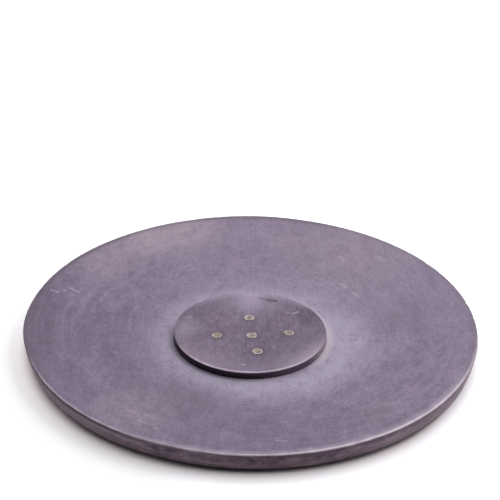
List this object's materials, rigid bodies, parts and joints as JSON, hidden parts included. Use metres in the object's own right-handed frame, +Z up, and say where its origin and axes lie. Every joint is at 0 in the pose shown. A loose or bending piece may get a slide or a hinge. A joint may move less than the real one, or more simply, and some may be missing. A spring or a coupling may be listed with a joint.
{
  "type": "incense stick holder",
  "caption": "Shallow round stone dish with a raised centre disc; metal-lined holes in the disc hold incense sticks upright and the dish catches their ash.",
  "frame": {"origin": "on the table, under the middle of the dish", "axes": "+Z up, -Y towards the viewer, +X to the right"},
  "size_m": [0.13, 0.13, 0.0065],
  "materials": {
    "dish_stone": "satin, dyed violet-grey, worn paler at the edges",
    "disc_stone": "satin, dyed violet-grey",
    "socket_metal": "dull",
    "foot_rubber": "matte"
  },
  "bodies": {
    "root": {"dish": "dish_stone", "stick_disc": "disc_stone", "stick_socket_centre": "socket_metal", "stick_socket_back": "socket_metal", "stick_socket_front": "socket_metal", "stick_socket_left": "socket_metal", "stick_socket_right": "socket_metal", "rubber_foot_1": "foot_rubber", "rubber_foot_2": "foot_rubber", "rubber_foot_3": "foot_rubber", "rubber_foot_4": "foot_rubber"}
  },
  "joints": []
}
